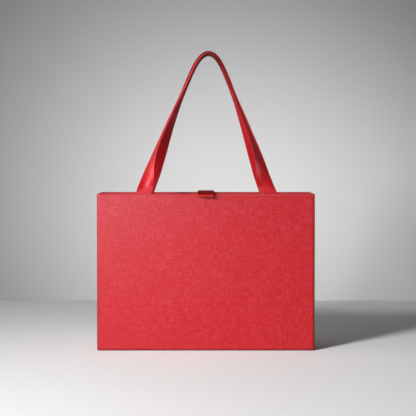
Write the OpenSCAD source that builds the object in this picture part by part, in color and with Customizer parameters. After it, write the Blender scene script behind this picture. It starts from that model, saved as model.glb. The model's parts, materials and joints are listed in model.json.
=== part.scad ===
// Rigid gift bag: greyboard panels wrapped in embossed paper, lined with paper,
// with two satin ribbon handles and a ribbon closure strap held by a magnet pair.
// Millimetres. X runs along the front panel, Y from front to back, Z up.
// The origin is the centre of the base, on the surface the bag stands on.

/* [Bag] */
// Width of the front panel, outside the wrap
body_w = 320; // [240:5:400]
// Depth of the bag from front to back, outside the wrap
body_d = 100; // [80:5:140]
// Height of the rim above the floor
body_h = 231; // [180:1:300]
// Radius of the wrapped upright edges
edge_r = 3; // [2.4:0.1:4]

/* [Board and paper] */
// Thickness of the greyboard panels
board_t = 3; // [2.4:0.1:3.4]
// Thickness of the outer wrap
wrap_t = 0.4; // [0.3:0.05:0.5]
// Thickness of the lining paper
lining_t = 0.3; // [0.2:0.05:0.4]
// How far the wrap is turned down inside the rim
rim_turn_in = 30; // [24:1:40]

/* [Handles] */
// Width of the ribbon
ribbon_w = 24; // [18:1:28]
// Thickness of the ribbon
ribbon_t = 0.5; // [0.4:0.05:0.8]
// Distance between the two legs of a handle at the rim
handle_spacing = 184; // [150:2:200]
// Height of the loops above the rim
loop_h = 208.8; // [180:0.2:240]
// Half of a loop's width at the shoulders, where its crown starts
crown_w = 28.6; // [24:0.2:34]
// Height of the crown above the shoulders
crown_h = 37; // [30:1:44]
// Sideways lean of the loop tops
loop_lean = 3; // [0:0.5:6]

/* [Closure] */
// Thickness of the stiff end of the strap
tab_t = 3.2; // [3:0.1:3.6]
// Length of the strip magnets
magnet_l = 16; // [10:1:18]

/* [Hidden] */

// Layers of a wall, counted inwards from the outside of the wrap
tape_t = 0.2;
board_in = wrap_t + tape_t;
board_back = board_in + board_t;
turn_in_back = board_back + wrap_t;
tail_back = turn_in_back + ribbon_t;
lining_gap = 0.02;

// The rim is a half round over the board and its wrap
rim_r = turn_in_back / 2;
rim_axis_z = body_h - rim_r;
board_half = board_t / 2;
board_crown = 0.3;
board_top = rim_axis_z + board_crown;

// Layers of the base, counted up from the floor
base_sheet_t = 0.4;
base_sheet_inset = 3;
board_bottom = base_sheet_t + wrap_t;
base_top = board_bottom + board_t;
base_turn_in = 15;
lining_base_top = base_top + lining_t;
board_fit = 0.05;

// Lining: how far it stops below the rim, and the slope over the turned-in edge
lining_drop = 6;
lining_slope = 4;
lining_bend_z = body_h - rim_turn_in - 2;
lining_bend_shift = 0.4;
trim_gap = 0.1;
tail_l = 27;
tail_drop = 0.4;
tail_top = body_h - tail_drop;
tape_leg = 14;
tape_drop = 8;

// Handle shape
ribbon_start = 0.3;
leg_lean = 18.5;
shoulder_lean = 22.5;
crown_reach = 26;
crown_flat = 10.5;
loop_shift = 1;
handle_gap = 0.4;
handle_y = body_d / 2 - turn_in_back - ribbon_t / 2;
peak_y = ribbon_w / 2 + handle_gap;
leg_steps = 36;
leg_step_power = 1.4;
crown_steps = 12;
twist_level = 0.22;
front_twist_rate_left = 0.105;
front_twist_rate_right = 0.15;
front_twist_start = 0.025;
front_twist_end = 83;
back_twist_start = 0.06;
back_twist_span = 0.68;
back_twist_end = 75;

// How far the front ribbon's outer edge stays from the leg's centre line, as shares of
// half its width, and where the ribbon goes back to turning about its middle
left_edge_rise = 0.067;
edge_rise_span = 0.05;
left_edge_fall = 1.183;
right_edge_fall = 0.92;
right_edge_power = 2.4;
let_go_start = 0.62;
let_go_span = 0.28;

// Strap: its fold at the back rim, its way over the opening and its sloping end
strap_t = 2 * ribbon_t;
core_w = 19;
fold_y = body_d / 2 - turn_in_back;
front_rim_y = -body_d / 2;
back_rim_y = body_d / 2;
tab_magnet_t = 1.6;
tab_magnet_w = 5;
rim_magnet_t = 1.4;
rim_magnet_h = 5;

// A rectangle with round corners, as corner points running counter-clockwise
corner_steps = 5;
function corner_signs() = [[1, 1], [-1, 1], [-1, -1], [1, -1]];
function round_rect(w, d, r) = [
    for (c = [0:3])
        for (k = [0:corner_steps])
            let (a = 90 * c + 90 * k / corner_steps)
            [
                corner_signs()[c][0] * (w / 2 - r) + r * cos(a),
                corner_signs()[c][1] * (d / 2 - r) + r * sin(a)
            ]
];

// The bag's footprint, inset from the outside by a distance
function footprint(inset) = round_rect(
    body_w - 2 * inset, body_d - 2 * inset, max(0.1, edge_r - inset)
);

module slab(inset, z0, z1) {
    translate([0, 0, z0])
        linear_extrude(z1 - z0)
            polygon(footprint(inset));
}

// A closed skin made by carrying a profile of [inset, height] points round the footprint
module swept_skin(profile) {
    rings = [for (p = profile) [for (q = footprint(p[0])) [q[0], q[1], p[1]]]];
    n = len(rings[0]);
    m = len(profile);
    points = [for (ring = rings) each ring];
    faces = [
        for (i = [0:m - 1])
            for (j = [0:n - 1])
                let (
                    a = i * n + j,
                    b = i * n + (j + 1) % n,
                    c = ((i + 1) % m) * n + (j + 1) % n,
                    d = ((i + 1) % m) * n + j
                )
                each [[a, c, b], [a, d, c]]
    ];
    polyhedron(points, faces);
}

// An arc of the rim's profile, from the outside of the wall over to the inside
rim_steps = 6;
function rim_arc(r, from, to) = [
    for (k = [0:rim_steps])
        let (a = from + (to - from) * k / rim_steps)
        [rim_r - r * cos(a), rim_axis_z + r * sin(a)]
];

// The bevel where the wrap folds under the base: its width and height outside, and inside
foot_w = 1.2;
foot_h = 1.4;
foot_in_w = 1.3;

module outer_wrap() {
    color("firebrick")
        swept_skin(concat(
            [[base_turn_in, base_sheet_t], [foot_w, base_sheet_t], [0, foot_h + base_sheet_t]],
            rim_arc(rim_r, 0, 180),
            [
                [turn_in_back, body_h - rim_turn_in],
                [board_back, body_h - rim_turn_in]
            ],
            rim_arc(rim_r - wrap_t, 180, 0),
            [
                [wrap_t, foot_h + base_sheet_t],
                [foot_in_w, board_bottom],
                [base_turn_in, board_bottom]
            ]
        ));
}

module base_sheet() {
    color("darkred")
        slab(base_sheet_inset, 0, base_sheet_t);
}

// The space that the boards fill, with a chamfered lower edge inside the wrap's fold
board_chamfer = 1.6;
module board_space() {
    slab(board_in + board_chamfer, board_bottom, board_bottom + board_chamfer + 0.1);
    slab(board_in, board_bottom + board_chamfer, board_top);
}

// side is -1 for the front and 1 for the back
module long_board(side) {
    intersection() {
        board_space();
        translate([-body_w / 2, side * (body_d / 2 - board_in - board_half) - board_half, 0])
            cube([body_w, board_t, body_h]);
    }
}

module front_board() {
    color("tan")
        difference() {
            long_board(-1);
            translate([-magnet_l / 2, -body_d / 2 + board_in + board_half - rim_magnet_t / 2,
                       board_top - rim_magnet_h])
                cube([magnet_l, rim_magnet_t, rim_magnet_h + 1]);
        }
}

module back_board() {
    color("tan")
        long_board(1);
}

// side is -1 for the left and 1 for the right
module end_board(side) {
    end_d = body_d - 2 * board_back;
    intersection() {
        board_space();
        translate([side * (body_w / 2 - board_in - board_half) - board_half, -end_d / 2, 0])
            cube([board_t, end_d, body_h]);
    }
}

module left_board() {
    color("tan")
        end_board(-1);
}

module right_board() {
    color("tan")
        end_board(1);
}

module base_board() {
    base_w = body_w - 2 * board_back - 2 * board_fit;
    base_d = body_d - 2 * board_back - 2 * board_fit;
    color("tan")
        translate([-base_w / 2, -base_d / 2, board_bottom])
            cube([base_w, base_d, board_t]);
}

// A tape folded round one upright edge, between the boards and the wrap
module corner_tape(sx, sy) {
    z0 = board_bottom + board_chamfer + 1;
    color("peru")
        intersection() {
            difference() {
                slab(wrap_t, z0, body_h - tape_drop);
                slab(board_in, z0 - 1, body_h);
            }
            translate([sx * body_w / 2 - tape_leg, sy * body_d / 2 - tape_leg, 0])
                cube([2 * tape_leg, 2 * tape_leg, body_h]);
        }
}

// A lining sheet's section: flat on the board, then out over the turned-in edge and the tails.
// depth and height are measured from the outside of the wall and from the floor.
function lining_section(upper) = [
    [board_back + lining_gap, lining_base_top],
    [board_back + lining_gap, lining_bend_z - lining_slope],
    [upper + lining_gap, lining_bend_z],
    [upper + lining_gap, body_h - lining_drop],
    [upper + lining_gap + lining_t, body_h - lining_drop],
    [upper + lining_gap + lining_t, lining_bend_z - lining_bend_shift],
    [board_back + lining_gap + lining_t, lining_bend_z - lining_slope - lining_bend_shift],
    [board_back + lining_gap + lining_t, lining_base_top]
];

module lining_long() {
    w = body_w - 2 * (tail_back + lining_gap + lining_t + trim_gap);
    translate([-w / 2, -body_d / 2, 0])
        rotate([90, 0, 90])
            linear_extrude(w)
                polygon(lining_section(tail_back));
}

module lining_front() {
    color("indianred")
        lining_long();
}

module lining_back() {
    color("indianred")
        rotate([0, 0, 180])
            lining_long();
}

module lining_end() {
    w = body_d - 2 * board_back - 2 * lining_gap;
    difference() {
        translate([-body_w / 2, w / 2, 0])
            rotate([90, 0, 0])
                linear_extrude(w)
                    polygon(lining_section(turn_in_back + trim_gap));
        for (side = [-1, 1])
            translate([-body_w / 2, side * body_d / 2, 0])
                rotate([90, 0, 90])
                    linear_extrude(body_w)
                        polygon([for (p = end_trim()) [-side * p[0], p[1]]]);
    }
}

// What the end linings leave for the front and back linings, with the turned-in edge
function end_trim() = [
    [0, 0],
    [board_back + lining_gap + lining_t + trim_gap, 0],
    [board_back + lining_gap + lining_t + trim_gap, lining_bend_z - lining_slope - 1],
    [tail_back + lining_gap + lining_t + trim_gap, lining_bend_z - 1],
    [tail_back + lining_gap + lining_t + trim_gap, body_h],
    [0, body_h]
];

module lining_left() {
    color("indianred")
        lining_end();
}

module lining_right() {
    color("indianred")
        rotate([0, 0, 180])
            lining_end();
}

module lining_base() {
    inset = board_back + lining_gap + lining_t + trim_gap;
    color("indianred")
        translate([-body_w / 2 + inset, -body_d / 2 + inset, base_top])
            cube([body_w - 2 * inset, body_d - 2 * inset, lining_t]);
}

// A ribbon end glued flat inside the turned-in edge, under the lining
module tail(x, side) {
    inner = body_d / 2 - turn_in_back;
    translate([x - ribbon_w / 2, side > 0 ? inner - ribbon_t : -inner, tail_top - tail_l])
        cube([ribbon_w, ribbon_t, tail_l]);
}

module front_tail_left() {
    color("crimson")
        tail(-handle_spacing / 2, -1);
}

module front_tail_right() {
    color("crimson")
        tail(handle_spacing / 2, -1);
}

module back_tail_left() {
    color("crimson")
        tail(-handle_spacing / 2, 1);
}

module back_tail_right() {
    color("crimson")
        tail(handle_spacing / 2, 1);
}

module strap_tail() {
    color("crimson")
        tail(0, 1);
}

module rim_magnet() {
    color("silver")
        translate([-magnet_l / 2, -body_d / 2 + board_in + board_half - rim_magnet_t / 2,
                   board_top - rim_magnet_h])
            cube([magnet_l, rim_magnet_t, rim_magnet_h]);
}

// Half of a loop seen from the front: a leaning leg up to the shoulder, then the crown
loop_top = loop_h - ribbon_t / 2;
foot = [handle_spacing / 2, 0];
shoulder = [crown_w, loop_top - crown_h];
leg_reach = shoulder[1] / 3;
shoulder_way = [-sin(shoulder_lean), cos(shoulder_lean)];
leg_controls = [
    foot,
    foot + leg_reach * [-tan(leg_lean), 1],
    shoulder - leg_reach * shoulder_way,
    shoulder
];
crown_controls = [
    shoulder,
    shoulder + crown_reach * shoulder_way,
    [crown_flat, loop_top],
    [0, loop_top]
];
function bezier(p, u) =
    pow(1 - u, 3) * p[0] + 3 * pow(1 - u, 2) * u * p[1] + 3 * (1 - u) * u * u * p[2]
    + pow(u, 3) * p[3];
// The steps are shorter near the rim, where the ribbon turns fastest
function half_loop() = concat(
    [for (k = [0:leg_steps - 1]) bezier(leg_controls, pow(k / leg_steps, leg_step_power))],
    [for (k = [0:crown_steps]) bezier(crown_controls, k / crown_steps)]
);

function smooth_step(x) = let (c = min(1, max(0, x))) c * c * (3 - 2 * c);

// Turn of the ribbon about its own length, from flat in the panel's plane at the rim
// to nearly edge-on at the top. h is the height as a share of the loop's.
function front_twist(h, sx) =
    let (rate = sx < 0 ? front_twist_rate_left : front_twist_rate_right)
    front_twist_end * (1 - exp(-h * h / (h + front_twist_start) / rate));
function back_twist(h) = back_twist_end
    * sin(90 * min(1, max(0, (h - back_twist_start) / back_twist_span)));

// How far the front ribbon moves outwards, so that it turns about its outer edge.
// own is half of its width as seen from the front.
function left_edge(h) = 1 + left_edge_rise * smooth_step(h / edge_rise_span) - left_edge_fall * h;
function right_edge(h) =
    1 - right_edge_fall * (1 - pow(1 - min(h, 1), right_edge_power));
function edge_shift(h, sx, own) =
    let (held = ribbon_w / 2 * (sx < 0 ? left_edge(h) : right_edge(h)))
    (held - own) * (1 - smooth_step((h - let_go_start) / let_go_span));

// One station of the ribbon: its centre and the direction across its width, towards
// the edge that is on the inside of the loop. p is the point of the half loop and
// inward the direction in its plane, sx the side of the bag and sy the panel.
function unit(v) = v / norm(v);
function across(angle, inward, sx, sy) =
    [-sx * inward[0] * cos(angle), sy * sin(angle), inward[1] * cos(angle)];
function inward_at(half, k) =
    let (
        d = unit(half[min(k + 1, len(half) - 1)] - half[max(k - 1, 0)]),
        turned = smooth_step(half[k][1] / loop_h / twist_level)
    )
    k == len(half) - 1 ? [0, -1] : unit([1, 0] * (1 - turned) + [d[1], d[0]] * turned);
function station(half, k, sx, sy) =
    let (
        p = half[k],
        h = p[1] / loop_top,
        angle = sy < 0 ? front_twist(h, sx) : back_twist(h),
        way = across(angle, inward_at(half, k), sx, sy),
        shift = sy < 0 ? edge_shift(h, sx, abs(way[0]) * ribbon_w / 2) : 0
    )
    [
        [
            sx * (p[0] + shift) + loop_shift + loop_lean * h,
            sy * (handle_y + (peak_y - handle_y) * sin(90 * h)),
            body_h + ribbon_start + p[1] * (1 - ribbon_start / loop_h)
        ],
        way
    ];
function ribbon_stations(sy) =
    let (half = half_loop(), n = len(half))
    concat(
        [for (k = [0:n - 1]) station(half, k, -1, sy)],
        [for (k = [n - 2:-1:0]) station(half, k, 1, sy)]
    );

// A loop of ribbon standing on the rim. sy is -1 for the front handle, 1 for the back one.
module handle_loop(sy) {
    s = ribbon_stations(sy);
    n = len(s);
    rings = [
        for (k = [0:n - 1])
            let (
                ahead = s[min(k + 1, n - 1)][0] - s[max(k - 1, 0)][0],
                w = s[k][1] * ribbon_w / 2,
                t = unit(cross(ahead, s[k][1])) * ribbon_t / 2,
                c = s[k][0]
            )
            [c + w + t, c - w + t, c - w - t, c + w - t]
    ];
    points = [for (ring = rings) each ring];
    last = 4 * (n - 1);
    // The two broad faces are split along the same diagonal, so that they stay parallel
    sides = [
        for (k = [0:n - 2])
            for (j = [0:3])
                let (a = 4 * k + j, b = 4 * k + (j + 1) % 4, c = b + 4, d = a + 4)
                each (j == 2 ? [[a, d, b], [b, d, c]] : [[a, c, b], [a, d, c]])
    ];
    ends = [[0, 2, 3], [0, 1, 2], [last, last + 2, last + 1], [last, last + 3, last + 2]];
    polyhedron(points, concat(sides, ends));
}

module front_handle_ribbon() {
    color("crimson")
        handle_loop(-1);
}

module back_handle_ribbon() {
    color("crimson")
        handle_loop(1);
}

// The strap's centre line in the Y Z plane with its half thickness, from the back rim
// over the opening to the sloping tab in front. Heights are above the rim.
tab_half = tab_t / 2;
strap_half = strap_t / 2;
strap_line = [
    [fold_y - 0.5, 0.5, strap_half],
    [fold_y - 1.6, 1.5, strap_half],
    [fold_y - 5, 2.0, strap_half],
    [back_rim_y - 25, 2.4, strap_half],
    [0, 2.7, strap_half],
    [front_rim_y + 25, 2.9, strap_half],
    [front_rim_y + 13, 3.1, strap_half],
    [front_rim_y + 9, 3.2, tab_half],
    [front_rim_y + 4, 2.9, tab_half],
    [front_rim_y + 1, 2.2, tab_half],
    [front_rim_y - 2, 1.0, tab_half],
    [front_rim_y - 9, -3.0, tab_half]
];
function strap_normal(line, k) =
    let (
        a = line[max(k - 1, 0)],
        b = line[min(k + 1, len(line) - 1)],
        d = unit([b[0] - a[0], b[1] - a[1]])
    )
    [-d[1], d[0]];
function strap_edge(line, side, shrink) = [
    for (k = [0:len(line) - 1])
        let (n = strap_normal(line, k), half = max(0, line[k][2] - shrink))
        [line[k][0] + side * half * n[0], body_h + line[k][1] + side * half * n[1]]
];
function reversed(points) = [for (k = [len(points) - 1:-1:0]) points[k]];
function strap_outline(line, shrink) = concat(
    strap_edge(line, 1, shrink), reversed(strap_edge(line, -1, shrink))
);

// The stiff core's part of the centre line, ending inside the folded tip
core_end = [front_rim_y - 8.2, -2.54, tab_half];
core_line = [
    strap_line[7],
    strap_line[8],
    strap_line[9],
    strap_line[10],
    core_end
];

module across_strap(width, points) {
    translate([-width / 2, 0, 0])
        rotate([90, 0, 90])
            linear_extrude(width)
                polygon(points);
}

// One ribbon folded round the stiff tip, open at its sides where the core lies
module strap_ribbon() {
    color("crimson")
        difference() {
            across_strap(ribbon_w, strap_outline(strap_line, 0));
            across_strap(ribbon_w + 2, strap_outline(core_line, ribbon_t));
        }
}

// The magnet lies in the core over the front rim
magnet_centre = [0, front_rim_y + 3.2, body_h + 2.76];
magnet_tilt = 10;
module magnet_block(grow) {
    translate(magnet_centre)
        rotate([magnet_tilt, 0, 0])
            cube([magnet_l + grow, tab_magnet_w + grow, tab_magnet_t + grow], center = true);
}

module tab_stiffener() {
    color("tan")
        difference() {
            across_strap(core_w, strap_outline(core_line, ribbon_t));
            magnet_block(0);
        }
}

module tab_magnet() {
    color("silver")
        magnet_block(0);
}

module corner_tape_front_left() {
    corner_tape(-1, -1);
}

module corner_tape_front_right() {
    corner_tape(1, -1);
}

module corner_tape_back_left() {
    corner_tape(-1, 1);
}

module corner_tape_back_right() {
    corner_tape(1, 1);
}

front_board();
back_board();
left_board();
right_board();
base_board();
corner_tape_front_left();
corner_tape_front_right();
corner_tape_back_left();
corner_tape_back_right();
outer_wrap();
base_sheet();
lining_front();
lining_back();
lining_left();
lining_right();
lining_base();
front_tail_left();
front_tail_right();
back_tail_left();
back_tail_right();
strap_tail();
rim_magnet();
front_handle_ribbon();
back_handle_ribbon();
strap_ribbon();
tab_stiffener();
tab_magnet();
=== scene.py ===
"""Gift bag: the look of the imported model, with paper, ribbon and lining built in mesh code."""
import json
import math

import bpy
import numpy as np
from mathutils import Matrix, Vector, noise


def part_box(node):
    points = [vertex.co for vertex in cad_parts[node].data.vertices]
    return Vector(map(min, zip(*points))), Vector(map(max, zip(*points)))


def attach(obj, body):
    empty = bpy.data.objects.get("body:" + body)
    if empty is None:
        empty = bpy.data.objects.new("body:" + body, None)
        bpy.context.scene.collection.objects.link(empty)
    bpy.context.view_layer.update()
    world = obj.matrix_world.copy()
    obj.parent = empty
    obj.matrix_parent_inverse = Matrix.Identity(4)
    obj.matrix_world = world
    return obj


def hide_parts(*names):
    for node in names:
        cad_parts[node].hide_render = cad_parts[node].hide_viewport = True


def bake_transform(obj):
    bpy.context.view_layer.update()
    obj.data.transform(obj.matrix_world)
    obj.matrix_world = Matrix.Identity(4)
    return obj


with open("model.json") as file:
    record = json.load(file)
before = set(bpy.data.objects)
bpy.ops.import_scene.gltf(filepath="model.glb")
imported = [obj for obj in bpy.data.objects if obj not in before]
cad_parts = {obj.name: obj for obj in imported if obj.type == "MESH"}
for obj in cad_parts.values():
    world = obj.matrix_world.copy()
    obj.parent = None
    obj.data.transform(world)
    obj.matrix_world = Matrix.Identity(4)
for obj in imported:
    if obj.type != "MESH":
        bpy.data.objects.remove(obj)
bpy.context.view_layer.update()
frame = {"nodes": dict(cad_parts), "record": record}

MM = 0.001

# ---------------------------------------------------------------- camera
# Metres, degrees downwards and millimetres. The distance is a guess: the photo doesn't give it
CAMERA_AT = (0.00316, -2.25, 0.288)
CAMERA_PITCH = 2.032
CAMERA_LENS = 130.02
camera = bpy.data.objects.new("camera", bpy.data.cameras.new("camera"))
camera.data.sensor_width = 36.0
camera.data.lens = CAMERA_LENS
camera.location = CAMERA_AT
camera.rotation_euler = (math.radians(90 - CAMERA_PITCH), 0, 0)
bpy.context.scene.collection.objects.link(camera)
bpy.context.scene.camera = camera

# ---------------------------------------------------------------- sizes, in millimetres
# They repeat part.scad's own, where the frame doesn't give them
half_w, half_d, rim_z = np.array(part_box("outer_wrap")[1]) / MM
edge_r = 3.0
board_t = 3.0
wrap_t = 0.4
tape_t = 0.2
board_back = wrap_t + tape_t + board_t
turn_in_back = board_back + wrap_t
rim_r = turn_in_back / 2
rim_axis_z = rim_z - rim_r
# Underside of the wrap, on top of the base sheet
base_z = 0.4
base_sheet_inset = 3.0
# The ribbon's width and thickness
ribbon_w = 24.0
ribbon_t = 0.5
# The ribbons' glued ends, inside the bag
tail_l = 27.0
tail_drop = 0.4
tail_low = rim_z - tail_drop - tail_l
tail_back = turn_in_back + ribbon_t
loop_h = 208.8
loop_lean = 3.0
# Linings: gaps for glue and for trimming, and where they sit by the turned-in edge
lining_t = 0.3
glue_gap = 0.02
trim_gap = 0.1
rim_turn_in = 30.0
lining_drop = 6.0
base_top = base_z + wrap_t + board_t


# ---------------------------------------------------------------- shapes
def smooth(x):
    c = np.clip(x, 0, 1)
    return c * c * (3 - 2 * c)


def unit(v):
    return v / np.maximum(np.linalg.norm(v, axis=-1, keepdims=True), 1e-9)


def wobble(points, wavelength, seed):
    """Smooth noise at each point, from -1 to 1."""
    flat = points.reshape(-1, 3) / wavelength
    values = [noise.noise(Vector((x + seed, y - seed, z + 2 * seed))) for x, y, z in flat]
    return np.array(values).reshape(points.shape[:-1])


def make_mesh(name, points, faces, uv, material, wear_and_painted_light=None, gloss=None):
    """A smooth-shaded object. points and uv are in millimetres."""
    mesh = bpy.data.meshes.new(name)
    mesh.from_pydata((points * MM).tolist(), [], faces)
    layer = mesh.uv_layers.new(name="weave")
    corner_vertex = np.empty(len(mesh.loops), np.int32)
    mesh.loops.foreach_get("vertex_index", corner_vertex)
    corner_uv = uv[corner_vertex] if len(uv) == len(points) else uv
    layer.data.foreach_set("uv", (corner_uv * MM).astype(np.float32).ravel())
    for kind, values in (("wear_and_painted_light", wear_and_painted_light), ("gloss", gloss)):
        if values is not None:
            attribute = mesh.attributes.new(kind, "FLOAT", "POINT")
            attribute.data.foreach_set("value", values.astype(np.float32).ravel())
    mesh.polygons.foreach_set("use_smooth", [True] * len(mesh.polygons))
    mesh.materials.append(material)
    mesh.validate()
    mesh.update()
    obj = bpy.data.objects.new(name, mesh)
    bpy.context.scene.collection.objects.link(obj)
    return obj


def cloth(name, middle, thickness, material, uv, wear_and_painted_light=None):
    """A closed sheet round a grid of points: two faces, joined along the four borders."""
    rows, columns = middle.shape[:2]
    along = np.gradient(middle, axis=0)
    across = np.gradient(middle, axis=1)
    normal = unit(np.cross(along, across))
    half = np.asarray(thickness) / 2
    if half.ndim == 0:
        half = np.full((rows, columns), float(half))
    top = middle + normal * half[..., None]
    bottom = middle - normal * half[..., None]
    points = np.concatenate([top.reshape(-1, 3), bottom.reshape(-1, 3)])
    under = rows * columns

    def at(i, j):
        return i * columns + j

    faces = []
    for i in range(rows - 1):
        for j in range(columns - 1):
            a, b, c, d = at(i, j), at(i + 1, j), at(i + 1, j + 1), at(i, j + 1)
            faces.append((a, b, c, d))
            faces.append((a + under, d + under, c + under, b + under))
    for i in range(rows - 1):
        a, b = at(i, 0), at(i + 1, 0)
        faces.append((b, a, a + under, b + under))
        a, b = at(i, columns - 1), at(i + 1, columns - 1)
        faces.append((a, b, b + under, a + under))
    for j in range(columns - 1):
        a, b = at(0, j), at(0, j + 1)
        faces.append((a, b, b + under, a + under))
        a, b = at(rows - 1, j), at(rows - 1, j + 1)
        faces.append((b, a, a + under, b + under))
    both = np.concatenate([uv.reshape(-1, 2), uv.reshape(-1, 2)])
    marked = None if wear_and_painted_light is None else np.concatenate([wear_and_painted_light.ravel(), wear_and_painted_light.ravel()])
    return make_mesh(name, points, faces, both, material, marked)


def lengths(path):
    """Distance along a path to each of its points."""
    steps = np.linalg.norm(np.diff(path, axis=0), axis=1)
    return np.concatenate([[0], np.cumsum(steps)])


def spline(points, per_span):
    """A smooth curve through the points."""
    p = np.array(points, float)
    p = np.vstack([2 * p[0] - p[1], p, 2 * p[-1] - p[-2]])
    out = []
    for k in range(1, len(p) - 2):
        for u in np.arange(per_span) / per_span:
            out.append(0.5 * (
                2 * p[k] + (p[k + 1] - p[k - 1]) * u
                + (2 * p[k - 1] - 5 * p[k] + 4 * p[k + 1] - p[k + 2]) * u * u
                + (3 * p[k] - p[k - 1] - 3 * p[k + 1] + p[k + 2]) * u ** 3
            ))
    out.append(p[-2])
    return np.array(out)


# ---------------------------------------------------------------- materials
class Nodes:
    """A material's node tree, with short calls for the nodes used here."""

    def __init__(self, name):
        self.material = bpy.data.materials.new(name)
        self.material.use_nodes = True
        self.tree = self.material.node_tree
        self.shader = self.tree.nodes["Principled BSDF"]

    def add(self, kind, inputs=(), **settings):
        node = self.tree.nodes.new("ShaderNode" + kind)
        for key, value in settings.items():
            setattr(node, key, value)
        for key, value in dict(inputs).items():
            self.put(node.inputs[key], value)
        return node

    def put(self, socket, value):
        if isinstance(value, bpy.types.NodeSocket):
            self.tree.links.new(value, socket)
        else:
            socket.default_value = value

    def math(self, operation, a, b=0.0, c=0.0):
        node = self.add("Math", {0: a, 1: b, 2: c}, operation=operation)
        return node.outputs[0]

    def uv(self):
        return self.add("UVMap", uv_map="weave").outputs[0]

    def place(self):
        return self.add("TexCoord").outputs["Object"]

    def noise(self, where, scale, stretch=(1, 1, 1), detail=2.0, rough=0.5):
        """Noise from 0 to 1, with about scale * stretch features to the metre."""
        placed = self.add("Mapping", {"Vector": where, "Scale": stretch})
        made = self.add("TexNoise", {"Vector": placed.outputs[0], "Scale": scale,
                                     "Detail": detail, "Roughness": rough})
        return made.outputs[0]

    def remap(self, value, low, high, to_low=0.0, to_high=1.0):
        """The stretch from low to high, spread over to_low to to_high and held at its ends."""
        made = self.add("MapRange", {0: value, 1: low, 2: high, 3: to_low, 4: to_high})
        return made.outputs[0]

    def mix(self, share, a, b):
        """Colour a, with a share of colour b over it."""
        made = self.add("Mix", data_type="RGBA")
        for socket, value in ((made.inputs[0], share), (made.inputs[6], a), (made.inputs[7], b)):
            self.put(socket, value if isinstance(value, (float, bpy.types.NodeSocket)) else (*value, 1))
        return made.outputs[2]

    def waves(self, value, period):
        """A wave from 0 to 1 along a coordinate in metres."""
        turned = self.math("SINE", self.math("MULTIPLY", value, 2 * math.pi / period))
        return self.math("MULTIPLY_ADD", turned, 0.5, 0.5)

    def finish(self, color, roughness, height, bump, distance, **fixed):
        """Join the maps to the shader. What is the same all over goes on its own sockets."""
        made = self.add("Bump", {"Strength": bump, "Distance": distance, "Height": height})
        self.put(self.shader.inputs["Base Color"], color)
        self.put(self.shader.inputs["Roughness"], roughness)
        self.tree.links.new(made.outputs[0], self.shader.inputs["Normal"])
        for key, value in fixed.items():
            self.shader.inputs[key.replace("_", " ")].default_value = value
        return self.material


# The emboss, to the metre: threads side by side, and runs along a thread
THREADS = 1250
RUNS = 75
# Distance between the fine dots of the emboss, and between the satin's weft lines, in metres
DOT_PERIOD = 0.0011
WEFT_PERIOD = 0.00042
PICOT_PERIOD = 0.0009
# Where a ribbon's selvedge begins and is full, from its middle line, in metres
SELVEDGE_IN = 0.0108
SELVEDGE_OUT = 0.0116
# How strongly the rim takes the fold mark: there the deeper red, partly wear and partly painted shade,
# is weaker than at the other folds
RIM_WEAR_AND_SHADE = 0.45


def embossed_paper(name, base, light, dark, upper, deep):
    """Paper embossed with an irregular linen weave, deeper red at its folds: partly pressing, partly
    painted shade on the rounded edges.
    """
    n = Nodes(name)
    uv = n.uv()
    level = n.noise(uv, 1.0, (RUNS, THREADS, 1), 1.5, 0.5)
    upright = n.noise(uv, 1.0, (THREADS, RUNS, 1), 1.5, 0.5)
    cross = n.math("ADD", level, upright)
    split = n.add("SeparateXYZ", {0: uv})
    dots_along, dots_up = (n.waves(split.outputs[k], DOT_PERIOD) for k in (0, 1))
    fine = n.math("MULTIPLY", dots_along, dots_up)
    cloud = n.noise(uv, 9.0, detail=3.0)
    grain = n.noise(uv, 420.0, detail=2.0)
    color = n.mix(n.remap(cross, 0.80, 1.18), dark, base)
    color = n.mix(n.remap(cloud, 0.3, 0.7, 0.0, 0.2), color, dark)
    # The red is deeper towards the rim, which offsets the lamps being brightest there
    color = n.mix(n.remap(split.outputs[1], 0.02, 0.26, 0.0, 0.7), color, upper)
    # Painted highlight: raised threads are painted paler as if catching the light, in short runs along
    # and across the paper
    patchy = n.remap(n.noise(uv, 34.0, detail=2.0), 0.35, 0.65, 0.6, 1.0)
    thread_highlight = n.math("MAXIMUM", n.remap(level, 0.52, 0.66), n.remap(upright, 0.52, 0.66))
    thread_highlight = n.math("MULTIPLY", n.math("MULTIPLY", thread_highlight, n.remap(grain, 0.3, 0.62)), patchy)
    color = n.mix(n.math("MULTIPLY", thread_highlight, 0.42), color, light)
    gloss = n.add("Attribute", attribute_name="gloss").outputs["Fac"]
    wear_and_painted_light = n.add("Attribute", attribute_name="wear_and_painted_light").outputs["Fac"]
    marked = n.math("MULTIPLY", wear_and_painted_light, n.remap(n.noise(uv, 160.0, detail=4.0), 0.42, 0.72))
    # The folds are pressed flat and rubbed dull, with a few scuffed spots; their deeper red is partly
    # that and partly painted shade along the rounded uprights, rim and foot
    color = n.mix(n.math("MULTIPLY", wear_and_painted_light, 0.94), color, deep)
    color = n.mix(n.math("MULTIPLY", marked, 0.12), color, light)
    height = n.math("ADD", n.math("MULTIPLY", cross, 0.7), n.math("MULTIPLY", fine, 0.16))
    height = n.math("ADD", height, n.math("MULTIPLY", grain, 0.14))
    height = n.math("MULTIPLY", height, n.remap(wear_and_painted_light, 0.0, 1.0, 1.0, 0.25))
    rough = n.remap(cross, 0.7, 1.3, 0.37, 0.28)
    rough = n.math("ADD", rough, n.remap(wear_and_painted_light, 0.0, RIM_WEAR_AND_SHADE, 0.0, 0.4))
    # Beside an upright fold the paper is pressed smoother
    rough = n.math("SUBTRACT", rough, n.math("MULTIPLY", gloss, 0.1))
    return n.finish(color, rough, height, 0.3, 0.0004, Specular_IOR_Level=0.38,
                    Specular_Tint=(1.0, 0.84, 0.96, 1))


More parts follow.
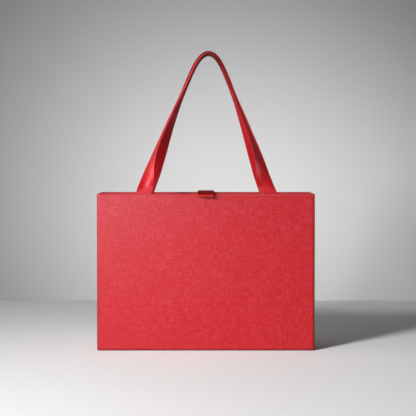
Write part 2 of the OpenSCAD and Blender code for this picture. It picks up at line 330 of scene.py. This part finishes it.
def satin(name, base, light, dark, roughness, sheen):
    """Double-faced satin: fine weft lines, long warp floats, denser at the selvedges."""
    n = Nodes(name)
    uv = n.uv()
    split = n.add("SeparateXYZ", {0: uv})
    wear_and_painted_light = n.add("Attribute", attribute_name="wear_and_painted_light").outputs["Fac"]
    weft = n.waves(split.outputs[0], WEFT_PERIOD)
    warp = n.noise(uv, 1.0, (60, 3600, 1), 2.0)
    slub = n.noise(uv, 1.0, (25, 900, 1), 3.0)
    cloud = n.noise(uv, 55.0, detail=2.0)
    edge = n.remap(n.math("ABSOLUTE", split.outputs[1]), SELVEDGE_IN, SELVEDGE_OUT)
    color = n.mix(n.remap(slub, 0.35, 0.68), dark, base)
    color = n.mix(n.remap(cloud, 0.35, 0.75, 0.0, 0.18), color, light)
    color = n.mix(n.math("MULTIPLY", edge, 0.45), color, dark)
    # Where the mark is set, on the strap's lip, the colour is lighter: a painted highlight
    color = n.mix(wear_and_painted_light, color, light)
    height = n.math("ADD", n.math("MULTIPLY", weft, 0.35), n.math("MULTIPLY", warp, 0.65))
    picots = n.math("MULTIPLY", edge, n.waves(split.outputs[0], PICOT_PERIOD))
    height = n.math("ADD", height, picots)
    rough = n.remap(slub, 0.3, 0.7, roughness + 0.05, roughness - 0.05)
    # The floats scatter more when the ribbon is seen edge-on
    glancing = n.add("LayerWeight", {"Blend": 0.5}).outputs["Facing"]
    rough = n.math("ADD", rough, n.math("MULTIPLY", n.math("POWER", glancing, 3.0), 0.45))
    n.tree.links.new(
        n.add("Tangent", direction_type="UV_MAP", uv_map="weave").outputs[0],
        n.shader.inputs["Tangent"],
    )
    return n.finish(color, rough, height, 0.22, 0.00008,
                    Specular_IOR_Level=0.42, Specular_Tint=(1.0, 0.34, 0.4, 1), Metallic=0.15,
                    Anisotropic=0.6, Anisotropic_Rotation=0.25,
                    Sheen_Weight=sheen, Sheen_Roughness=0.35, Sheen_Tint=(1.0, 0.1, 0.12, 1))


def lining_paper(name, base, light, dark):
    """Smooth uncoated paper: short fibres, cloudy colour and upright scuffs."""
    n = Nodes(name)
    uv = n.uv()
    fibre = n.noise(uv, 900.0, (1, 0.35, 1), 3.0, 0.6)
    cloud = n.noise(uv, 22.0, detail=4.0)
    scuff = n.noise(uv, 1.0, (60, 340, 1), 4.0, 0.65)
    color = n.mix(n.remap(fibre, 0.35, 0.65), dark, base)
    color = n.mix(n.remap(cloud, 0.4, 0.75, 0.0, 0.3), color, light)
    color = n.mix(n.remap(scuff, 0.62, 0.75, 0.0, 0.25), color, light)
    height = n.math("ADD", fibre, n.math("MULTIPLY", cloud, 0.6))
    rough = n.remap(cloud, 0.3, 0.7, 0.72, 0.62)
    return n.finish(color, rough, height, 0.3, 0.0002, Specular_IOR_Level=0.35)


def flecked(name, base, light, dark, stretch, scale, roughness, metallic=0.0):
    """Board, kraft tape or plated metal, by position, for the CAD's own meshes."""
    n = Nodes(name)
    where = n.place()
    fibre = n.noise(where, scale, stretch, 4.0, 0.65)
    speck = n.noise(where, scale * 2.3, detail=1.0)
    cloud = n.noise(where, scale / 12, detail=3.0)
    color = n.mix(n.remap(fibre, 0.35, 0.65), dark, base)
    color = n.mix(n.remap(speck, 0.66, 0.74, 0.0, 0.7), color, light)
    color = n.mix(n.remap(cloud, 0.4, 0.7, 0.0, 0.25), color, dark)
    rough = n.remap(fibre, 0.3, 0.7, roughness + 0.06, roughness - 0.06)
    return n.finish(color, rough, fibre, 0.3, 0.0002, Metallic=metallic)


# Wrap colours: base, a pale one for the painted thread highlights and the scuffs, dark, a deeper red
# towards the rim as painted shade, and the folds' deeper red, partly painted shade
wrap_paper = embossed_paper("embossed_wrap_paper", (0.325, 0.0025, 0.004), (0.35, 0.085, 0.105),
                            (0.29, 0.0015, 0.0025), (0.175, 0.003, 0.005), (0.16, 0.0006, 0.001))
inner_paper = lining_paper("lining_paper_red", (0.24, 0.012, 0.014), (0.36, 0.05, 0.05),
                           (0.16, 0.008, 0.009))
handle_satin = satin("satin_ribbon_red", (0.265, 0.005, 0.007), (0.35, 0.015, 0.017),
                     (0.16, 0.002, 0.0035), 0.38, 0.02)
# The strap's dark red is painted shade on its face; its lighter colour is the painted highlight on its
# lip
closure_satin = satin("strap_satin_red", (0.085, 0.003, 0.0025), (0.34, 0.010, 0.009),
                      (0.06, 0.002, 0.002), 0.4, 0.02)
greyboard = flecked("greyboard_raw", (0.34, 0.30, 0.25), (0.5, 0.46, 0.4), (0.24, 0.21, 0.18),
                    (1, 1, 1), 600.0, 0.85)
kraft = flecked("kraft_tape_gummed", (0.42, 0.28, 0.16), (0.55, 0.4, 0.26), (0.32, 0.2, 0.11),
                (1, 1, 0.25), 900.0, 0.7)
nickel = flecked("nickel_plate", (0.62, 0.6, 0.58), (0.8, 0.79, 0.77), (0.5, 0.48, 0.46),
                 (1, 0.2, 1), 1400.0, 0.3, 1.0)

by_slot = {
    "embossed_wrap": wrap_paper, "lining_paper": inner_paper, "satin_ribbon": handle_satin,
    "strap_satin": closure_satin, "greyboard": greyboard, "kraft_tape": kraft, "magnet": nickel,
}
for part in frame["record"]["subparts"]:
    node = frame["nodes"][part["node"]]
    if not node.material_slots:
        node.data.materials.append(by_slot[part["material_slot"]])
    for holder in node.material_slots:
        holder.material = by_slot[part["material_slot"]]


# ---------------------------------------------------------------- the outer wrap
CORNER_STEPS = 10
LONG_STEPS = 90
SHORT_STEPS = 30
HEIGHT_STEPS = 42
RIM_STEPS = 14
TURN_STEPS = 8
FOLD_STEPS = 5
FOLD_R = 1.4
BASE_TURN_IN = 15.0
# The back's overlap ends here, and stands out by its step
SEAM_X = -half_w + 16
SEAM_STEP = 0.3


def close_ends(length, steps):
    """Shares of a length, spaced evenly but for three close steps at each end."""
    near = np.array([0, 0.8, 1.6, 2.4])
    first = 4.2
    middle = np.linspace(first, length - first, steps)
    return np.concatenate([near, middle, length - near[::-1]]) / length


def footprint(inset):
    """The bag's outline at an inset, counter-clockwise, starting behind the right corner."""
    r = max(0.1, edge_r - inset)
    cx, cy = half_w - inset - r, half_d - inset - r
    out = []
    for c, (sx, sy) in enumerate(((1, 1), (-1, 1), (-1, -1), (1, -1))):
        for k in range(CORNER_STEPS + 1):
            a = math.radians(90 * c + 90 * k / CORNER_STEPS)
            out.append((sx * cx + r * math.cos(a), sy * cy + r * math.sin(a)))
        nx, ny = ((-1, 1), (-1, -1), (1, -1), (1, 1))[c]
        a = math.radians(90 * (c + 1))
        start = np.array(out[-1])
        end = np.array((nx * cx + r * math.cos(a), ny * cy + r * math.sin(a)))
        steps = LONG_STEPS if c % 2 == 0 else SHORT_STEPS
        for along in close_ends(np.linalg.norm(end - start), steps)[1:-1]:
            out.append(tuple(start + (end - start) * along))
    return np.array(out)


def arc(cx, cz, r, start, end, steps):
    """Points round a circle, from -90 degrees under it and 0 outside it to 180 inside it."""
    a = np.radians(np.linspace(start, end, steps + 1))
    return [(cx - r * math.cos(t), cz + r * math.sin(t)) for t in a]


def wrap_profile():
    """Inset and height, from the base's turned-in edge up the outside and back inside."""
    rim_low = rim_z - rim_turn_in
    under = np.linspace(BASE_TURN_IN, FOLD_R + 1.5, 6)
    low, tall = base_z + FOLD_R, rim_axis_z - base_z - FOLD_R
    heights = [low + tall * share for share in close_ends(tall, HEIGHT_STEPS)[1:-1]]
    outside = [(x, base_z) for x in under]
    outside += arc(FOLD_R, low, FOLD_R, -90, 0, FOLD_STEPS)
    outside += [(0.0, z) for z in heights]
    outside += arc(rim_r, rim_axis_z, rim_r, 0, 180, RIM_STEPS)
    outside += [(turn_in_back, z) for z in np.linspace(rim_axis_z, rim_low, TURN_STEPS)[1:]]
    inside = [(board_back, z) for z in np.linspace(rim_low, rim_axis_z, TURN_STEPS)[:-1]]
    inside += arc(rim_r, rim_axis_z, rim_r - wrap_t, 180, 0, RIM_STEPS)
    inside += [(wrap_t, z) for z in heights[::-1]]
    inside += arc(FOLD_R, low, FOLD_R - wrap_t, 0, -90, FOLD_STEPS)
    inside += [(x, base_z + wrap_t) for x in under[::-1]]
    return np.array(outside + inside), len(outside)


def build_wrap():
    """One folded sheet: the profile, carried round the bag's outline and closed on itself."""
    profile, outer_count = wrap_profile()
    outline = footprint(0)
    n, m = len(outline), len(profile)
    points = np.empty((m, n, 3))
    for i, (inset, z) in enumerate(profile):
        points[i, :, :2] = footprint(inset)
        points[i, :, 2] = z
    # The panels are very slightly uneven, and the paper overlaps itself near one back corner
    ahead = np.roll(outline, -1, 0) - np.roll(outline, 1, 0)
    outward = unit(np.stack([ahead[:, 1], -ahead[:, 0]], 1))
    uneven = 0.09 * wobble(points, 75.0, 3.7) + 0.035 * wobble(points, 17.0, 8.1)
    on_back = (points[..., 1] > half_d - 2) & (points[..., 2] < rim_axis_z)
    lap = np.where(points[..., 0] < SEAM_X, 1.0, smooth(1 - (points[..., 0] - SEAM_X) / 0.4))
    lap = lap * smooth((points[..., 0] + half_w - 1.5) / 10.0)
    face = (np.arange(m) < outer_count)[:, None]
    fade = smooth((points[..., 2] - base_z) / 4.0) * smooth((rim_axis_z + 1 - points[..., 2]) / 5.0)
    push = (uneven + SEAM_STEP * lap * on_back) * face * fade
    points[..., :2] += outward[None] * push[..., None]
    around = np.concatenate([lengths(outline), [0]])
    around[-1] = around[-2] + np.linalg.norm(outline[0] - outline[-1])
    up = np.concatenate([lengths(profile), [0]])
    up[-1] = up[-2] + np.linalg.norm(profile[0] - profile[-1])
    faces, uv = [], []
    for i in range(m):
        for j in range(n):
            i2, j2 = (i + 1) % m, (j + 1) % n
            faces.append((i * n + j, i * n + j2, i2 * n + j2, i2 * n + j))
            uv += [(around[j], up[i]), (around[j + 1], up[i]),
                   (around[j + 1], up[i + 1]), (around[j], up[i + 1])]
    # What the paper shows near its folds, a deeper red that is partly wear and partly painted shade:
    # from_edge is 0 at a sharp upright corner
    x, y, z = (points[..., k] for k in range(3))
    from_edge = half_w - np.abs(x) + half_d - np.abs(y)
    upright = smooth((2.6 - from_edge) / 0.5)
    rim = smooth((z - rim_z + 3.0) / 0.8)
    foot = smooth((base_z + 3.0 - z) / 1.0)
    wear_and_painted_light = np.clip(upright + RIM_WEAR_AND_SHADE * rim + foot, 0, 1)
    beside = smooth((from_edge - 2.05) / 0.4) * smooth((5.0 - from_edge) / 1.2)
    gloss = beside * (1 - rim) * (1 - foot)
    obj = make_mesh("wrap_sheet", points.reshape(-1, 3), faces, np.array(uv), wrap_paper,
                    wear_and_painted_light.ravel(), gloss.ravel())
    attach(obj, "bag")
    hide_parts("outer_wrap")


build_wrap()


# ---------------------------------------------------------------- base sheet and linings
def grid_uv(rows, columns):
    """rows and columns are distances in millimetres."""
    return np.stack(np.meshgrid(rows, columns, indexing="ij"), -1)


def floor_grid(inset, columns, rows):
    """Distances along and across the base inside an inset, and a flat grid of points."""
    xs = np.linspace(-half_w + inset, half_w - inset, columns)
    ys = np.linspace(-half_d + inset, half_d - inset, rows)
    middle = np.zeros((columns, rows, 3))
    middle[..., 0], middle[..., 1] = np.meshgrid(xs, ys, indexing="ij")
    return xs, ys, middle


def build_base_sheet():
    """The sheet that the bag stands on, over the wrap's turned-in edges."""
    sheet_mid, sheet_t = 0.21, 0.38
    xs, ys, middle = floor_grid(base_sheet_inset, 60, 24)
    middle[..., 2] = sheet_mid + 0.01 * wobble(middle, 40.0, 5.5)
    unworn = np.zeros(middle.shape[:2])
    obj = cloth("base_paper", middle, sheet_t, wrap_paper, grid_uv(xs, ys), unworn)
    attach(obj, "bag")
    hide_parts("base_sheet")


ROW_PITCH = 6.0
COLUMN_PITCH = 2.5
LIFT = 0.35


def lining_path(upper):
    """Depth from the outside of the wall and height, up a lining sheet."""
    lower = board_back + glue_gap + lining_t / 2
    upper = upper + glue_gap + lining_t / 2
    step_high = rim_z - rim_turn_in - 2.2
    step_low = step_high - 4
    bottom, top = base_top + lining_t + trim_gap, rim_z - lining_drop
    knots = [(lower, bottom), (lower, step_low - 5), (lower, step_low),
             (upper, step_high), (upper, step_high + 5), (upper, top)]
    out = []
    for (d0, z0), (d1, z1) in zip(knots[:-1], knots[1:]):
        steps = max(2, int(round((z1 - z0) / ROW_PITCH)))
        for u in np.arange(steps) / steps:
            blend = smooth(u) if d0 != d1 else u
            out.append((d0 + (d1 - d0) * blend, z0 + (z1 - z0) * u))
    out.append(knots[-1])
    return np.array(out)


def build_lining(name, half_length, upper, along, side, seed):
    """A lining sheet on one wall. along is its axis, 0 or 1, and upper its depth at the rim."""
    path = lining_path(upper)
    count = int(half_length / COLUMN_PITCH)
    across = np.linspace(-half_length, half_length, count)
    middle = np.empty((len(path), count, 3))
    wall = half_d if along == 0 else half_w
    middle[..., along] = across[None]
    middle[..., 1 - along] = (side * (wall - path[:, 0]))[:, None]
    middle[..., 2] = path[:, 1][:, None]
    # Paper pasted by hand lies a little off the board between its glue lines
    loose = smooth((path[:, 1] - base_top) / 12)
    loose = loose * smooth((rim_z - lining_drop - path[:, 1]) / 10)
    lift = (0.5 + 0.5 * wobble(middle, 38.0, seed)) * LIFT * loose[:, None]
    if along == 1:
        lift = lift * smooth((half_length - np.abs(across)) / 6)[None]
    middle[..., 1 - along] -= side * lift
    if along == 1:
        # The sheet narrows where the long linings lie over the turned-in edge
        over_turn_in = path[:, 1] > rim_z - rim_turn_in - 6
        squeeze = np.where(over_turn_in, 1 - 1.1 / half_length, 1.0)
        middle[..., 1] *= squeeze[:, None]
    if side * (1 if along == 0 else -1) > 0:
        middle = middle[:, ::-1]
    obj = cloth(name + "_paper", middle, lining_t, inner_paper,
                grid_uv(path[:, 1], across))
    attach(obj, "bag")
    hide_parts(name)


long_half = half_w - tail_back - glue_gap - lining_t - trim_gap
end_half = half_d - board_back - glue_gap - lining_t - trim_gap - 0.02
build_lining("lining_front", long_half, tail_back, 0, -1, 1.3)
build_lining("lining_back", long_half, tail_back, 0, 1, 4.9)
build_lining("lining_left", end_half, turn_in_back + trim_gap, 1, -1, 7.7)
build_lining("lining_right", end_half, turn_in_back + trim_gap, 1, 1, 9.2)


def build_lining_base():
    """The lining's floor, which rises a little off the board in its middle."""
    inset = board_back + glue_gap + lining_t + trim_gap
    xs, ys, middle = floor_grid(inset, 64, 22)
    rise = smooth((half_w - inset - np.abs(middle[..., 0])) / 12)
    rise = rise * smooth((half_d - inset - np.abs(middle[..., 1])) / 12)
    middle[..., 2] = base_top + lining_t / 2
    middle[..., 2] += 0.3 * rise * (0.5 + 0.5 * wobble(middle, 45.0, 6.6))
    obj = cloth("lining_base_paper", middle, lining_t, inner_paper, grid_uv(xs, ys))
    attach(obj, "bag")
    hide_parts("lining_base")


build_base_sheet()
build_lining_base()


# ---------------------------------------------------------------- the ribbon handles
CROWN_W = 28.6
CROWN_H = 37.0
HANDLE_X = 92.0
HANDLE_Y = half_d - turn_in_back - ribbon_t / 2
PEAK_Y = ribbon_w / 2 + 0.4
RIBBON_START = 0.3
# A leg's lean at the rim and at the shoulder, and how far the crown reaches on, in degrees and mm
FOOT_LEAN = 18.5
SHOULDER_LEAN = 22.5
CROWN_REACH = 26.0
CROWN_FLAT = 10.5
# Turn of the front and back ribbons at the top, in degrees
FRONT_TURN = 83
BACK_TURN = 75
# Columns of points across a ribbon, and how far its inner edge lags behind its outer one
ACROSS = 21
LAG = 0.03


def bezier(p, u):
    u = u[:, None]
    v = 1 - u
    return v ** 3 * p[0] + 3 * v ** 2 * u * p[1] + 3 * v * u * u * p[2] + u ** 3 * p[3]


def half_loop(leg_steps=120, crown_steps=50):
    """Half of a loop in its own plane, from the rim to the top: distance out and height."""
    top = loop_h - ribbon_t / 2
    foot, shoulder = np.array([HANDLE_X, 0.0]), np.array([CROWN_W, top - CROWN_H])
    reach = shoulder[1] / 3
    lean, turn = math.radians(FOOT_LEAN), math.radians(SHOULDER_LEAN)
    ahead = np.array([-math.sin(turn), math.cos(turn)])
    leg = [foot, foot + reach * np.array([-math.tan(lean), 1]), shoulder - reach * ahead, shoulder]
    crown = [shoulder, shoulder + CROWN_REACH * ahead, np.array([CROWN_FLAT, top]),
             np.array([0.0, top])]
    return np.concatenate([
        bezier(leg, np.arange(leg_steps) / leg_steps),
        bezier(crown, np.linspace(0, 1, crown_steps + 1)),
    ])


def twist(side, right, h):
    """Turn of the ribbon about its own length at a share h of the loop's height."""
    if side < 0:
        rate = 0.105 + 0.045 * right
        h = np.maximum(h, 0)
        return FRONT_TURN * (1 - np.exp(-h * h / (h + 0.025) / rate))
    end = BACK_TURN - 5 * right * (1 - smooth((h - 0.5) / 0.3))
    return end * np.sin(np.radians(90 * np.clip((h - 0.06) / 0.68, 0, 1)))


def ribbon_half(side, sx):
    """Half of a handle's ribbon as a grid of points, from the end of its tail to the top."""
    half = half_loop()
    direction = unit(np.gradient(half, axis=0))
    h = half[:, 1] / (loop_h - ribbon_t / 2)
    turned = smooth(half[:, 1] / loop_h / 0.22)[:, None]
    inward = unit(np.array([1.0, 0.0]) * (1 - turned)
                  + np.stack([direction[:, 1], direction[:, 0]], 1) * turned)
    inward[-1] = (0, -1)
    centre = np.stack([
        sx * half[:, 0] + 1 + loop_lean * h,
        side * (HANDLE_Y + (PEAK_Y - HANDLE_Y) * np.sin(h * math.pi / 2)),
        rim_z + RIBBON_START + half[:, 1] * (1 - RIBBON_START / loop_h),
    ], 1)
    # Near the rim the outer edge turns ahead of the inner one, which creases the ribbon
    q = np.linspace(-1, 1, ACROSS)
    lag = LAG * (1 - smooth((h - 0.14) / 0.32))
    local = h[:, None] - (1 + q[None]) * lag[:, None] * (side < 0)
    angle = np.radians(twist(side, sx > 0, local))
    step = np.stack([
        -sx * inward[:, :1] * np.cos(angle),
        side * np.sin(angle),
        inward[:, 1:] * np.cos(angle),
    ], -1)
    between = (step[:, 1:] + step[:, :-1]) / 2 * (ribbon_w / (ACROSS - 1))
    grid = np.concatenate([np.zeros((len(h), 1, 3)), np.cumsum(between, axis=1)], 1)
    grid = grid - grid[:, ACROSS // 2][:, None] + centre[:, None]
    if side < 0:
        # The front ribbon turns about its outer edge, which stays on the outside of the leg
        own = np.abs(grid[:, 0, 0] - centre[:, 0])
        if sx < 0:
            reach = ribbon_w / 2 + 0.8 * smooth(h / 0.05) - 14.2 * h
        else:
            reach = 0.92 * ribbon_w / 2 * (1 - np.minimum(h, 1)) ** 2.4 + 0.96
        let_go = smooth((h - 0.62) / 0.28)
        reach = reach * (1 - let_go) + own * let_go
        grid[..., 0] += (sx * (reach - own))[:, None]
    # The tail, flat on the turned-in edge below the rim
    z = np.linspace(tail_low, rim_z + RIBBON_START, 16)[:-1]
    tail = np.empty((len(z), ACROSS, 3))
    shift = smooth((z - tail_low) / (rim_z - tail_low))
    tail[..., 0] = (sx * HANDLE_X + shift)[:, None] - sx * q[None] * ribbon_w / 2
    tail[..., 1] = side * HANDLE_Y
    tail[..., 2] = z[:, None]
    return np.concatenate([tail, grid])


def build_handle(side, name, nodes, seed):
    """A handle's ribbon from glued end to glued end. side is -1 in front and 1 behind."""
    left, right = ribbon_half(side, -1), ribbon_half(side, 1)
    middle = np.concatenate([left, right[::-1][1:]])
    along = lengths(middle[:, ACROSS // 2])
    free = smooth((middle[..., 2] - rim_z - 3) / 25)
    surface = unit(np.cross(np.gradient(middle, axis=0), np.gradient(middle, axis=1)))
    ripple = 0.35 * wobble(middle, 30.0, seed) + 0.12 * wobble(middle, 9.0, seed + 3)
    middle = middle + surface * (ripple * free)[..., None]
    q = np.abs(np.linspace(-1, 1, ACROSS))
    thick = ribbon_t * (1 - 0.35 * smooth((q - 0.9) / 0.1))
    thick = np.repeat(thick[None], len(middle), 0)
    uv = grid_uv(along, np.linspace(-ribbon_w / 2, ribbon_w / 2, ACROSS))
    obj = cloth(name, middle, thick, handle_satin, uv)
    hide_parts(*nodes)
    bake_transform(obj)


build_handle(-1, "front_ribbon",
             ["front_handle_ribbon", "front_tail_left", "front_tail_right"], 2.2)
build_handle(1, "back_ribbon",
             ["back_handle_ribbon", "back_tail_left", "back_tail_right"], 6.4)


# ---------------------------------------------------------------- the closure strap
STRAP_HALF = 0.5
TAB_HALF = 1.6
STRAP_COLUMNS = 25
STRAP_FOLD_Y = half_d - turn_in_back


def strap_centre():
    """Depth, height over the rim and half thickness along the strap, from back rim to tip."""
    fold_y, strap_half, tab_half = STRAP_FOLD_Y, STRAP_HALF, TAB_HALF
    return spline([
        (fold_y - 1.6, 1.5, strap_half), (fold_y - 5, 2.0, strap_half),
        (half_d - 25, 2.4, strap_half), (0, 2.7, strap_half), (-half_d + 25, 2.9, strap_half),
        (-half_d + 13, 3.1, strap_half), (-half_d + 9, 3.2, tab_half),
        (-half_d + 4, 2.9, tab_half), (-half_d + 1, 2.2, tab_half),
        (-half_d - 2, 1.0, tab_half), (-half_d - 8.6, -2.77, tab_half),
    ], 10)


def build_strap():
    """The ribbon from its glued end over the back rim, round the stiff core's tip and back."""
    line = strap_centre()
    half = np.clip(line[:, 2], STRAP_HALF, TAB_HALF)
    centre = line[:, :2] + np.array([0, rim_z])
    run = unit(np.gradient(centre, axis=0))
    normal = np.stack([run[:, 1], -run[:, 0]], 1)
    x = np.linspace(-ribbon_w / 2, ribbon_w / 2, STRAP_COLUMNS)
    # The sides, past the stiff core, are not held fully open
    open_share = 1 - 0.4 * smooth((np.abs(x) - 9.8) / 2.2)
    rows = []
    fold_y = STRAP_FOLD_Y
    start = np.array([fold_y - ribbon_t / 2, rim_z - 0.6])
    for z in np.linspace(tail_low, start[1], 12):
        rows.append([(start[0], z)] * len(x))
    # Over the bend behind the rim
    first = centre[0] + normal[0] * 0.25
    control = np.array([start[0], first[1] - 0.1])
    for u in np.linspace(0, 1, 8)[1:-1]:
        p = (1 - u) ** 2 * start + 2 * (1 - u) * u * control + u * u * first
        rows.append([tuple(p)] * len(x))

    def offset(k, share):
        """How far the ribbon lies off the centre line at a share of the core's thickness."""
        return ribbon_t / 2 + 0.005 + (half[k] - STRAP_HALF) * share

    for k in range(len(centre)):
        rows.append([tuple(centre[k] + normal[k] * offset(k, s)) for s in open_share])
    last = len(centre) - 1
    first_tip_row = len(rows) - 1
    for a in np.linspace(90, -90, 15)[1:-1]:
        s, c = math.sin(math.radians(a)), math.cos(math.radians(a))
        bulge = 0.75 * c ** 0.5
        height = math.copysign(abs(s) ** 0.6, s)
        rows.append([
            tuple(centre[last] + run[last] * bulge + normal[last] * offset(last, w) * height)
            for w in open_share
        ])
    for k in range(last, 3, -1):
        rows.append([tuple(centre[k] - normal[k] * offset(k, s)) for s in open_share])
    profile = np.array(rows)
    middle = np.empty((len(rows), len(x), 3))
    middle[..., 0] = x[None]
    middle[..., 1:] = profile
    along = lengths(middle[:, len(x) // 2])
    span = smooth((middle[..., 1] + half_d - 14) / 12) * smooth((fold_y - 5 - middle[..., 1]) / 12)
    middle[..., 2] += 0.25 * span * wobble(np.stack([middle[..., 0], middle[..., 1],
                                                     np.zeros_like(span)], -1), 26.0, 3.1)
    uv = grid_uv(along, x)
    q = np.abs(x) / (ribbon_w / 2)
    thick = ribbon_t * (0.98 - 0.3 * smooth((q - 0.92) / 0.08))
    thick = np.repeat(thick[None], len(middle), 0)
    # The lip that hangs over the front rim is painted in the lighter red and the rest of the strap in
    # dark red: painted light, the folded end lit and the face in shade
    beyond = (np.arange(len(rows)) > first_tip_row) * 1.0
    marked = np.repeat(beyond[:, None], len(x), 1)
    obj = cloth("strap_band", middle, thick, closure_satin, uv, marked)
    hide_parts("strap_ribbon", "strap_tail")
    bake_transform(obj)


build_strap()


# ---------------------------------------------------------------- the studio
def stage_plane(name, corners, steps, material):
    """A flat sheet between four corners, in metres."""
    a, b, c, d = (np.array(p, float) for p in corners)
    points, faces = [], []
    for i in range(steps + 1):
        for j in range(steps + 1):
            u, v = i / steps, j / steps
            points.append((a * (1 - u) + b * u) * (1 - v) + (d * (1 - u) + c * u) * v)
    for i in range(steps):
        for j in range(steps):
            k = i * (steps + 1) + j
            faces.append((k, k + steps + 1, k + steps + 2, k + 1))
    mesh = bpy.data.meshes.new(name)
    mesh.from_pydata([tuple(p) for p in points], [], faces)
    mesh.materials.append(material)
    obj = bpy.data.objects.new(name, mesh)
    bpy.context.scene.collection.objects.link(obj)


# Where the backdrop stands, and half the width of the floor and the backdrop, in metres
WALL_Y = 0.71
STUDIO = 4


def pool(n, where, centre, radii):
    """1 at the centre of a soft pool, falling to 0 at its radii."""
    moved = n.add("Mapping", {"Vector": where, "Location": centre}, vector_type="TEXTURE")
    scaled = n.add("Mapping", {"Vector": moved.outputs[0], "Scale": tuple(1 / r for r in radii)})
    away = n.add("VectorMath", {0: scaled.outputs[0]}, operation="LENGTH").outputs["Value"]
    made = n.add("MapRange", {0: away, 1: 0.0, 2: 1.0, 3: 1.0, 4: 0.0},
                 interpolation_type="SMOOTHSTEP")
    return made.outputs[0]


def wall_material():
    n = Nodes("backdrop_paper")
    where = n.place()
    # Painted pool of light: the paper is paler round a spot right of the bag and painted darker far
    # from the middle
    painted_light_pool = pool(n, where, (0.22, WALL_Y, 0.16), (1.05, 1.0, 0.72))
    color = n.mix(painted_light_pool, (0.22, 0.222, 0.226), (0.56, 0.56, 0.557))
    color = n.mix(pool(n, where, (0.0, WALL_Y, 0.2), (0.95, 1.0, 1.1)), (0.06, 0.06, 0.06), color)
    grain = n.noise(where, 500.0, detail=2.0)
    made = n.finish(color, 0.9, grain, 0.05, 0.0002, Specular_IOR_Level=0.1)
    # The paper hangs in front of the views from behind, so its back lets them through
    output = n.tree.nodes["Material Output"].inputs["Surface"]
    clear = n.add("BsdfTransparent").outputs[0]
    back = n.add("NewGeometry").outputs["Backfacing"]
    sided = n.add("MixShader", {0: back, 1: n.shader.outputs[0], 2: clear})
    n.tree.links.new(sided.outputs[0], output)
    return made


def floor_material():
    n = Nodes("floor_board")
    where = n.place()
    split = n.add("SeparateXYZ", {0: where})
    # Painted falloff of light: the floor is paler towards the front and darker far from the bag
    near = n.remap(split.outputs[1], 0.65, -0.45)
    color = n.mix(near, (0.60, 0.605, 0.61), (0.70, 0.70, 0.697))
    color = n.mix(pool(n, where, (0.0, 0.0, 0.0), (1.9, 1.9, 1.0)), (0.3, 0.3, 0.3), color)
    grain = n.noise(where, 300.0, detail=2.0)
    rough = n.remap(grain, 0.3, 0.7, 0.64, 0.60)
    return n.finish(color, rough, grain, 0.05, 0.0001, Specular_IOR_Level=0.12)


stage_plane(
    "floor_plane",
    ((-STUDIO, -STUDIO, 0), (STUDIO, -STUDIO, 0), (STUDIO, STUDIO, 0), (-STUDIO, STUDIO, 0)),
    8, floor_material(),
)
stage_plane(
    "backdrop",
    ((-STUDIO, WALL_Y, -0.01), (STUDIO, WALL_Y, -0.01), (STUDIO, WALL_Y, 4), (-STUDIO, WALL_Y, 4)),
    8, wall_material(),
)


def area_light(name, at, target, size, power, spread=180):
    """A soft box at a place, turned to a target. Sizes in metres, power in watts."""
    light = bpy.data.lights.new(name, "AREA")
    light.shape = "RECTANGLE"
    light.size, light.size_y = size
    light.energy = power
    light.spread = math.radians(spread)
    obj = bpy.data.objects.new(name, light)
    obj.location = at
    obj.visible_camera = False
    obj.rotation_euler = (Vector(target) - Vector(at)).to_track_quat("-Z", "Y").to_euler()
    bpy.context.scene.collection.objects.link(obj)


CENTRE = (0, 0, 0.12)


def around(azimuth, elevation, distance):
    """A place round the bag. Azimuth 0 is in front of it, and positive is to the right."""
    a, e = math.radians(azimuth), math.radians(elevation)
    return (CENTRE[0] + distance * math.sin(a) * math.cos(e),
            CENTRE[1] - distance * math.cos(a) * math.cos(e),
            CENTRE[2] + distance * math.sin(e))


area_light("key", around(-31.7, 24.5, 2.5), CENTRE, (0.42, 0.42), 114)
area_light("sheen", around(-14, 9, 1.7), (-0.17, -0.05, 0.24), (0.3, 0.3), 0.16, spread=28)
area_light("top", (-0.1, -0.3, 1.9), (0, 0, 0.2), (1.2, 1.0), 1.0)
# A bank of small lamps on each side, aimed over the bag at the handles
for azimuth, power in ((-56, 0.45), (-78, 0.55), (-100, 0.3), (-122, 0.08),
                       (56, 0.16), (78, 0.24), (100, 0.16)):
    area_light(f"bank_{azimuth}", around(azimuth, 18, 1.2),
               (math.copysign(0.06, azimuth), 0, 0.35), (0.5, 0.5), power, spread=26)
area_light("wall_fill", (1.3, -0.3, 0.35), (0.52, WALL_Y, 0.04), (0.4, 0.4), 0.45, spread=44)

WORLD_LIGHT = 0.03
WORLD_SEEN = 0.8
world = bpy.data.worlds.new("studio")
world.use_nodes = True
tree = world.node_tree
tree.nodes["Background"].inputs[0].default_value = (0.5, 0.51, 0.53, 1)
# Past the floor's end the studio looks pale to the camera, but lights the bag very little
seen = tree.nodes.new("ShaderNodeLightPath").outputs["Is Camera Ray"]
level = tree.nodes.new("ShaderNodeMapRange")
level.inputs[3].default_value = WORLD_LIGHT
level.inputs[4].default_value = WORLD_SEEN
tree.links.new(seen, level.inputs[0])
tree.links.new(level.outputs[0], tree.nodes["Background"].inputs[1])
bpy.context.scene.world = world
bpy.context.scene.view_settings.view_transform = "Standard"
bpy.context.scene.view_settings.look = "None"
